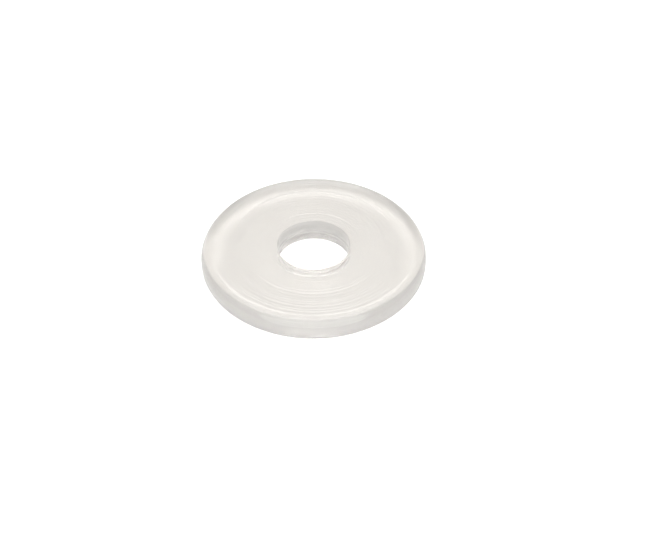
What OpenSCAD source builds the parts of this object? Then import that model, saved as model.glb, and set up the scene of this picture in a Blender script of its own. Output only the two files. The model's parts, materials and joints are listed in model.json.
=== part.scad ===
// Extra-large flat washer for an M8 screw, moulded in one piece from natural nylon.
// It lies on its lower face: z = 0 is that face, and the Z axis is the axis of the bore.

/* [Washer] */
// Diameter of the bore that the screw passes through
bore_d = 9; // [8.4:0.1:10]
// Outside diameter
outer_d = 28; // [24:0.5:34]
// Thickness, from the lower face to the upper face
thickness = 3; // [2.7:0.1:3.6]

/* [Edges] */
// Radius of the wide round between the upper face and the outer wall
upper_edge_r = 1.6; // [0.8:0.1:1.7]
// Radius of the lesser round between the outer wall and the lower face
lower_edge_r = 0.85; // [0.2:0.05:0.9]
// Radius that breaks the two rims of the bore
bore_edge_r = 0.06; // [0.04:0.01:0.2]

/* [Hidden] */
natural_nylon = [0.91, 0.89, 0.86];
round_facets = 64;
turned_facets = 180;
bore_r = bore_d / 2;
outer_r = outer_d / 2;
// Where each round of the section has its centre
rim_centre_r = bore_r + bore_edge_r;
upper_centre = [outer_r - upper_edge_r, thickness - upper_edge_r];
lower_centre = [outer_r - lower_edge_r, lower_edge_r];

// A quarter disc that rounds one corner of the section: toward is the side it faces along X and Y
module edge_round(centre, edge_r, toward) {
    translate(centre)
        intersection() {
            circle(r = edge_r, $fn = round_facets);
            scale(toward) square(edge_r);
        }
}

// A straight-sided stretch of the section, from one corner's radius and height to the other's
module stretch(inner_low, outer_high) {
    translate(inner_low) square(outer_high - inner_low);
}

// Half of the washer's cross-section: radius along X, height along Y
module section() {
    // Flat faces, out to the wide round
    stretch([rim_centre_r, 0], [upper_centre.x, thickness]);
    // Lower face beneath the wide round
    stretch([rim_centre_r, 0], [lower_centre.x, upper_centre.y]);
    // Wall of the bore between its two rims
    stretch([bore_r, bore_edge_r], [upper_centre.x, thickness - bore_edge_r]);
    // Outer wall between its two rounds
    stretch([rim_centre_r, lower_centre.y], [outer_r, upper_centre.y]);
    edge_round(upper_centre, upper_edge_r, [1, 1]);
    edge_round(lower_centre, lower_edge_r, [1, -1]);
    edge_round([rim_centre_r, thickness - bore_edge_r], bore_edge_r, [-1, 1]);
    edge_round([rim_centre_r, bore_edge_r], bore_edge_r, [-1, -1]);
}

module washer() {
    color(natural_nylon)
        rotate_extrude($fn = turned_facets) section();
}

washer();
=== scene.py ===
"""Looks of the flat washer: one ring of milky natural nylon that lies on a pale table.

Every length is in metres. The washer lies on z = 0 and the Z axis is the axis of its bore.
"""
import json
import math
import random

import bpy
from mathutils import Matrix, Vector


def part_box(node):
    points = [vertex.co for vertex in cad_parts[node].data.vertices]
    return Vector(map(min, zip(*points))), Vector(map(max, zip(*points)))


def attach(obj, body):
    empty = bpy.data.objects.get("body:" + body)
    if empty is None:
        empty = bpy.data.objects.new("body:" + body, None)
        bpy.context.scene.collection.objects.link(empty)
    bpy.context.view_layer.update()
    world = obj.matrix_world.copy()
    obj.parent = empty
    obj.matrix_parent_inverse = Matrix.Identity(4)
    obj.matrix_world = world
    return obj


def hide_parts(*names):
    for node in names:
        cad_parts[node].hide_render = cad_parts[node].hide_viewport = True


MM = 0.001
NODE = "washer"

# Edges of the washer
UPPER_EDGE_R = 1.6 * MM
LOWER_EDGE_R = 0.85 * MM
RIM_EDGE_R = 0.06 * MM

# Mesh fineness: steps round the axis, and along each part of the half section
TURN_STEPS = 288
WIDE_ROUND_STEPS = 20
SMALL_ROUND_STEPS = 8
RIM_STEPS = 4
WALL_STEPS = 4
BORE_STEPS = 5
RING_STEPS = 6

# Rings that the turned mould leaves on each face. A ring's width and depth are drawn at random,
# as a share of the face's own pitch and depth.
UPPER_RING_PITCH = 0.5 * MM
UPPER_RING_DEPTH = 0.024 * MM
LOWER_RING_PITCH = 0.62 * MM
LOWER_RING_DEPTH = 0.004 * MM
RING_WIDTH_SHARES = (0.6, 1.4)
RING_DEPTH_SHARES = (0.2, 1.0)
RING_SEED = 8

# The one deeper groove in the upper face
GROOVE_R = 10.4 * MM
GROOVE_HALF_WIDTH = 0.13 * MM
GROOVE_DEPTH = 0.06 * MM

# Witness line in the bore, where the two halves of the mould's core met
WITNESS_HEIGHT_SHARE = 0.43
WITNESS_HALF_WIDTH = 0.09 * MM
WITNESS_CREST_SHARE = 0.3
WITNESS_RISE = 0.05 * MM

# Nylon: how clear its skin is and how far it bends light, and the haze within it
CLARITY = 0.87
NYLON_IOR = 1.53
HAZE_DENSITY = 140
HAZE_FORWARD = 0.7
LIGHT_BOUNCES = 64

# Colours and roughness of the skin, which drift with a soft cloud of noise, scaled per metre
NYLON_WARM = (0.88, 0.857, 0.827, 1)
NYLON_PALE = (0.93, 0.915, 0.89, 1)
CLOUD_SCALE = 320
CLOUD_DETAIL = 4
GLOSS = (0.085, 0.14)
GLOSS_CLOUD = (0.3, 0.7)

# Bump of the skin: fine feed marks that fade in and out with the cloud, and a finer grain
SKIN_BUMP = 0.05
SKIN_DEPTH = 0.006 * MM
FEED_PITCH = 0.5 * MM
FEED_DETAIL = 1
FEED_STRENGTH = (0.3, 1.0)
FEED_CLOUD = (0.35, 0.65)
GRAIN_SCALE = 2600
GRAIN_DETAIL = 2
GRAIN_SHARE = 0.2

# Table top, which lies just below the washer so that the two don't touch
TABLE_HALF = 0.35
TABLE_GAP = 0.002 * MM
TABLE_PAINT = (0.77, 0.77, 0.77, 1)
TABLE_ROUGHNESS = 0.6
TABLE_GLOW = 0.5
WHITE = (1, 1, 1, 1)

# The studio's own light: dim low down and brighter above; WORLD_RISE holds sines of the elevation
WORLD_LOW = 0.32
WORLD_HIGH = 0.9
WORLD_RISE = (0.6, 0.68)
BACKDROP_WHITE = 1.1

# Softboxes behind, in front and overhead: elevation, distance, width and height, power
BACK_ELEVATION = math.radians(58)
BACK_DISTANCE = 0.46
BACK_WIDTH = 0.4
BACK_TALL = 0.13
BACK_W = 0.37
FRONT_ELEVATION = math.radians(30)
FRONT_DISTANCE = 0.6
FRONT_WIDTH = 1.2
FRONT_TALL = 0.6
FRONT_W = 4.0
OVERHEAD_HEIGHT = 0.5
OVERHEAD_SIDE = 0.6
OVERHEAD_W = 1.45

# Camera, as the washer is seen: nearly square on, from above the front
CAMERA_ELEVATION = math.radians(41.7)
CAMERA_DISTANCE = 196 * MM
CAMERA_NEAREST = 10 * MM
SENSOR_MM = 36.0
# How wide the washer looks, and where its centre sits, as shares of the picture's width
WASHER_SPAN = 0.346
CENTRE_RIGHT = -0.0171
CENTRE_UP = 0.0391

# Where a Mix node keeps its two colours, and the colour that it makes of them
MIX_COLOUR_A = 6
MIX_COLOUR_B = 7
MIX_COLOUR_OUT = 2


def arc(centre_r, centre_z, radius, start_deg, end_deg, steps):
    """Points on an arc of the section, from one angle to the other, both ends in."""
    points = []
    for step in range(steps + 1):
        angle = math.radians(start_deg + (end_deg - start_deg) * step / steps)
        points.append((centre_r + radius * math.cos(angle), centre_z + radius * math.sin(angle)))
    return points


def straight(start, end, steps):
    """Points along a straight wall, without its two ends."""
    points = []
    for step in range(1, steps):
        share = step / steps
        points.append(tuple(a + (b - a) * share for a, b in zip(start, end)))
    return points


def ring(start_r, width, face_z, cut):
    """Points over one rounded ring cut into a face, without its outer end."""
    points = []
    for step in range(RING_STEPS):
        share = step / RING_STEPS
        dip = cut * (1 - math.cos(2 * math.pi * share)) / 2
        points.append((start_r + width * share, face_z + dip))
    return points


def ringed_face(inner_r, outer_r, face_z, inward, pitch, depth, rng):
    """Points across a face that carries shallow rings; inward is 1 or -1, towards the material."""
    count = max(1, round((outer_r - inner_r) / pitch))
    widths = [rng.uniform(*RING_WIDTH_SHARES) for _ in range(count)]
    share = (outer_r - inner_r) / sum(widths)
    points = []
    start_r = inner_r
    for width in widths:
        cut = inward * depth * rng.uniform(*RING_DEPTH_SHARES)
        points += ring(start_r, width * share, face_z, cut)
        start_r += width * share
    return points


def upper_face(inner_r, outer_r, face_z, rng):
    """Points across the upper face, with its deeper groove among the shallow rings."""
    groove_start = GROOVE_R - GROOVE_HALF_WIDTH
    groove_end = GROOVE_R + GROOVE_HALF_WIDTH
    rings = (face_z, -1, UPPER_RING_PITCH, UPPER_RING_DEPTH, rng)
    points = ringed_face(inner_r, groove_start, *rings)
    points += ring(groove_start, GROOVE_HALF_WIDTH * 2, face_z, -GROOVE_DEPTH)
    return points + ringed_face(groove_end, outer_r, *rings)


def bore_wall(bore_r, low_z, high_z, witness_z):
    """Points down the bore, from the upper rim to the lower one, over the witness line."""
    crest_r = bore_r - WITNESS_RISE
    crest_half = WITNESS_HALF_WIDTH * WITNESS_CREST_SHARE
    above = (bore_r, witness_z + WITNESS_HALF_WIDTH)
    below = (bore_r, witness_z - WITNESS_HALF_WIDTH)
    points = straight((bore_r, high_z), above, BORE_STEPS)
    points += [above, (crest_r, witness_z + crest_half), (crest_r, witness_z - crest_half), below]
    return points + straight(below, (bore_r, low_z), BORE_STEPS)


def washer_section(bore_r, outer_r, thickness):
    """The closed half section: over the upper face, down the outside, back under, up the bore."""
    rng = random.Random(RING_SEED)
    rim_r = bore_r + RIM_EDGE_R
    rim_low, rim_high = RIM_EDGE_R, thickness - RIM_EDGE_R
    upper_r, upper_z = outer_r - UPPER_EDGE_R, thickness - UPPER_EDGE_R
    lower_r, lower_z = outer_r - LOWER_EDGE_R, LOWER_EDGE_R
    points = upper_face(rim_r, upper_r, thickness, rng)
    points += arc(upper_r, upper_z, UPPER_EDGE_R, 90, 0, WIDE_ROUND_STEPS)
    points += straight((outer_r, upper_z), (outer_r, lower_z), WALL_STEPS)
    points += arc(lower_r, lower_z, LOWER_EDGE_R, 0, -90, SMALL_ROUND_STEPS)
    under = ringed_face(rim_r, lower_r, 0, 1, LOWER_RING_PITCH, LOWER_RING_DEPTH, rng)
    # Taken backwards, without its point at the rim, where the rim's own round begins
    points += under[:0:-1]
    points += arc(rim_r, rim_low, RIM_EDGE_R, -90, -180, RIM_STEPS)
    down = bore_wall(bore_r, rim_low, rim_high, thickness * WITNESS_HEIGHT_SHARE)
    points += down[::-1]
    # The last point would repeat the first one of the upper face
    points += arc(rim_r, rim_high, RIM_EDGE_R, 180, 90, RIM_STEPS)[:-1]
    return points


def add_object(name, data):
    """A new object in the scene, made of the mesh, light or camera given."""
    made = bpy.data.objects.new(name, data)
    bpy.context.scene.collection.objects.link(made)
    return made


def turn(name, section):
    """A closed mesh that turns the section once round the Z axis."""
    count = len(section)
    verts = []
    faces = []
    for step in range(TURN_STEPS):
        angle = 2 * math.pi * step / TURN_STEPS
        verts += [(r * math.cos(angle), r * math.sin(angle), z) for r, z in section]
        here = step * count
        there = (step + 1) % TURN_STEPS * count
        for i in range(count):
            j = (i + 1) % count
            faces.append((here + i, here + j, there + j, there + i))
    mesh = bpy.data.meshes.new(name)
    mesh.from_pydata(verts, [], faces)
    mesh.update()
    mesh.shade_smooth()
    return add_object(name, mesh)


class Nodes:
    """Short calls that add nodes to the shader tree of one material or world."""

    def __init__(self, owner):
        owner.use_nodes = True
        self.tree = owner.node_tree

    def put(self, node, inputs):
        """Sets each input of a node, or links it where it is given another node's output."""
        for key, value in inputs.items():
            if isinstance(value, bpy.types.NodeSocket):
                self.tree.links.new(value, node.inputs[key])
            else:
                node.inputs[key].default_value = value

    def put_in(self, name, inputs):
        """Sets inputs of a node that the tree came with."""
        self.put(self.tree.nodes[name], inputs)

    def add(self, kind, output, inputs=None, **settings):
        """Adds a node, with its settings and inputs, and returns the output asked for."""
        node = self.tree.nodes.new(kind)
        for name, value in settings.items():
            setattr(node, name, value)
        self.put(node, inputs or {})
        return node.outputs[output]

    def math(self, operation, a, b):
        """Adds, multiplies or otherwise joins two values."""
        return self.add("ShaderNodeMath", "Value", {0: a, 1: b}, operation=operation)

    def noise(self, place, scale, detail):
        """Noise that changes with the place, in spots per metre."""
        inputs = {"Vector": place, "Scale": scale, "Detail": detail}
        return self.add("ShaderNodeTexNoise", "Fac", inputs)

    def ramp(self, value, span, out, **settings):
        """Turns a value that crosses the span into one that runs from out's start to its end."""
        ends = {"From Min": span[0], "From Max": span[1], "To Min": out[0], "To Max": out[1]}
        return self.add("ShaderNodeMapRange", "Result", {"Value": value, **ends}, **settings)

    def seen_directly(self):
        """1 where the camera looks straight at a surface, and 0 for light on any other way."""
        return self.add("ShaderNodeLightPath", "Is Camera Ray")


def feed_marks(n, place):
    """Uneven rings round the bore's axis: noise that changes with the radius alone."""
    flat = n.add("ShaderNodeVectorMath", "Vector", {0: place, 1: (1, 1, 0)}, operation="MULTIPLY")
    radius = n.add("ShaderNodeVectorMath", "Value", {0: flat}, operation="LENGTH")
    inputs = {"W": radius, "Scale": 1 / FEED_PITCH, "Detail": FEED_DETAIL}
    return n.add("ShaderNodeTexNoise", "Fac", inputs, noise_dimensions="1D")


def skin_slopes(n, place, cloud):
    """The skin's fine relief, from its feed marks and its grain."""
    feed = n.math("MULTIPLY", feed_marks(n, place), n.ramp(cloud, FEED_CLOUD, FEED_STRENGTH))
    grain = n.math("MULTIPLY", n.noise(place, GRAIN_SCALE, GRAIN_DETAIL), GRAIN_SHARE)
    relief = {"Strength": SKIN_BUMP, "Distance": SKIN_DEPTH, "Height": n.math("ADD", feed, grain)}
    return n.add("ShaderNodeBump", "Normal", relief)


def nylon():
    """Milky natural nylon: clear enough to show its far walls softly, with turned marks on its skin."""
    material = bpy.data.materials.new("natural_nylon_moulded")
    n = Nodes(material)
    place = n.add("ShaderNodeTexCoord", "Object")
    cloud = n.noise(place, CLOUD_SCALE, CLOUD_DETAIL)
    tints = {"Factor": cloud, MIX_COLOUR_A: NYLON_WARM, MIX_COLOUR_B: NYLON_PALE}
    haze = {"Density": HAZE_DENSITY, "Anisotropy": HAZE_FORWARD}
    n.put_in("Principled BSDF", {
        "Base Color": n.add("ShaderNodeMix", MIX_COLOUR_OUT, tints, data_type="RGBA"),
        "Roughness": n.ramp(cloud, GLOSS_CLOUD, GLOSS),
        "Transmission Weight": CLARITY,
        "IOR": NYLON_IOR,
        "Normal": skin_slopes(n, place, cloud),
    })
    n.put_in("Material Output", {"Volume": n.add("ShaderNodeVolumeScatter", "Volume", haze)})
    return material


def make_washer():
    """The washer's one piece, with the record's bore and the frame's outside and thickness."""
    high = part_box(NODE)[1]
    mounts = {mount["name"]: mount for mount in frame["record"]["mounts"]}
    bore_r = mounts["screw_bore"]["dims"]["r_mm"] * MM
    piece = turn("washer_moulded_ring", washer_section(bore_r, high.x, high.z))
    piece.data.materials.append(nylon())
    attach(piece, "root")
    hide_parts(NODE)


def table_paint():
    """Pale grey paint. Its glow reaches the camera alone and makes it plain white in the picture."""
    material = bpy.data.materials.new("white_table")
    n = Nodes(material)
    n.put_in("Principled BSDF", {
        "Base Color": TABLE_PAINT,
        "Roughness": TABLE_ROUGHNESS,
        "Emission Color": WHITE,
        "Emission Strength": n.math("MULTIPLY", n.seen_directly(), TABLE_GLOW),
    })
    return material


def make_table():
    """A square table top under the washer."""
    corners = [(x * TABLE_HALF, y * TABLE_HALF, 0) for x, y in ((-1, -1), (1, -1), (1, 1), (-1, 1))]
    mesh = bpy.data.meshes.new("table_top")
    mesh.from_pydata(corners, [], [(0, 1, 2, 3)])
    mesh.materials.append(table_paint())
    table = add_object("table_top", mesh)
    table.location.z = -TABLE_GAP


def soft_light(name, place, size, power):
    """A softbox that faces the washer and that the camera doesn't see."""
    light = bpy.data.lights.new(name, "AREA")
    light.shape = "RECTANGLE"
    light.size, light.size_y = size
    light.energy = power
    lamp = add_object(name, light)
    lamp.location = place
    lamp.visible_camera = False
    to_washer = Vector((0, 0, 0)) - Vector(place)
    lamp.rotation_euler = to_washer.to_track_quat("-Z", "Y").to_euler()


def place_at(elevation, distance, side):
    """A point above the Y axis: side 1 is behind the washer and -1 in front of it."""
    return (0, side * distance * math.cos(elevation), distance * math.sin(elevation))


def make_light():
    """The three softboxes."""
    back = place_at(BACK_ELEVATION, BACK_DISTANCE, 1)
    front = place_at(FRONT_ELEVATION, FRONT_DISTANCE, -1)
    soft_light("back_softbox", back, (BACK_WIDTH, BACK_TALL), BACK_W)
    soft_light("front_softbox", front, (FRONT_WIDTH, FRONT_TALL), FRONT_W)
    soft_light("overhead_softbox", (0, 0, OVERHEAD_HEIGHT), (OVERHEAD_SIDE, OVERHEAD_SIDE), OVERHEAD_W)


def let_light_wander():
    """Lets light take enough turns to find its way out of the milky body."""
    cycles = bpy.context.scene.cycles
    cycles.max_bounces = LIGHT_BOUNCES
    cycles.transmission_bounces = LIGHT_BOUNCES
    cycles.volume_bounces = LIGHT_BOUNCES
    cycles.blur_glossy = 0


def make_world():
    """A studio that is dim low down and bright above, on a plain white backdrop."""
    world = bpy.data.worlds.new("studio")
    bpy.context.scene.world = world
    n = Nodes(world)
    rise = n.add("ShaderNodeSeparateXYZ", "Z", {"Vector": n.add("ShaderNodeTexCoord", "Generated")})
    glow = n.ramp(rise, WORLD_RISE, (WORLD_LOW, WORLD_HIGH), interpolation_type="SMOOTHSTEP")
    strengths = {"Factor": n.seen_directly(), "A": glow, "B": BACKDROP_WHITE}
    n.put_in("Background", {"Color": WHITE, "Strength": n.add("ShaderNodeMix", "Result", strengths)})


def make_camera():
    """The camera at the photograph's angle, which frames the washer as the photograph does."""
    low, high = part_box(NODE)
    centre = (low + high) / 2
    back = Vector((0, -math.cos(CAMERA_ELEVATION), math.sin(CAMERA_ELEVATION)))
    up = Vector((0, math.sin(CAMERA_ELEVATION), math.cos(CAMERA_ELEVATION)))
    picture_w = (high.x - low.x) / WASHER_SPAN
    data = bpy.data.cameras.new("camera")
    data.lens = SENSOR_MM * CAMERA_DISTANCE / picture_w
    data.sensor_width = SENSOR_MM
    data.clip_start = CAMERA_NEAREST
    camera = add_object("camera", data)
    camera.location = centre + back * CAMERA_DISTANCE
    aim = centre - Vector((1, 0, 0)) * CENTRE_RIGHT * picture_w - up * CENTRE_UP * picture_w
    camera.rotation_euler = (aim - camera.location).to_track_quat("-Z", "Y").to_euler()
    bpy.context.scene.camera = camera


with open("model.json") as file:
    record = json.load(file)
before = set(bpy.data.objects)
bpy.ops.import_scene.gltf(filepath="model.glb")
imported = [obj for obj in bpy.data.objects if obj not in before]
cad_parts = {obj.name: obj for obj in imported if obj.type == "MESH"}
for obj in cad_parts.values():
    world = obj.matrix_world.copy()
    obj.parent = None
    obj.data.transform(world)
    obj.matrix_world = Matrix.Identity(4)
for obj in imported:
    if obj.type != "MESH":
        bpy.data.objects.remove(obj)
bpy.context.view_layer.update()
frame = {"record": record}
bpy.context.scene.view_settings.view_transform = "Standard"
make_camera()
make_world()
make_light()
let_light_wander()
make_table()
make_washer()
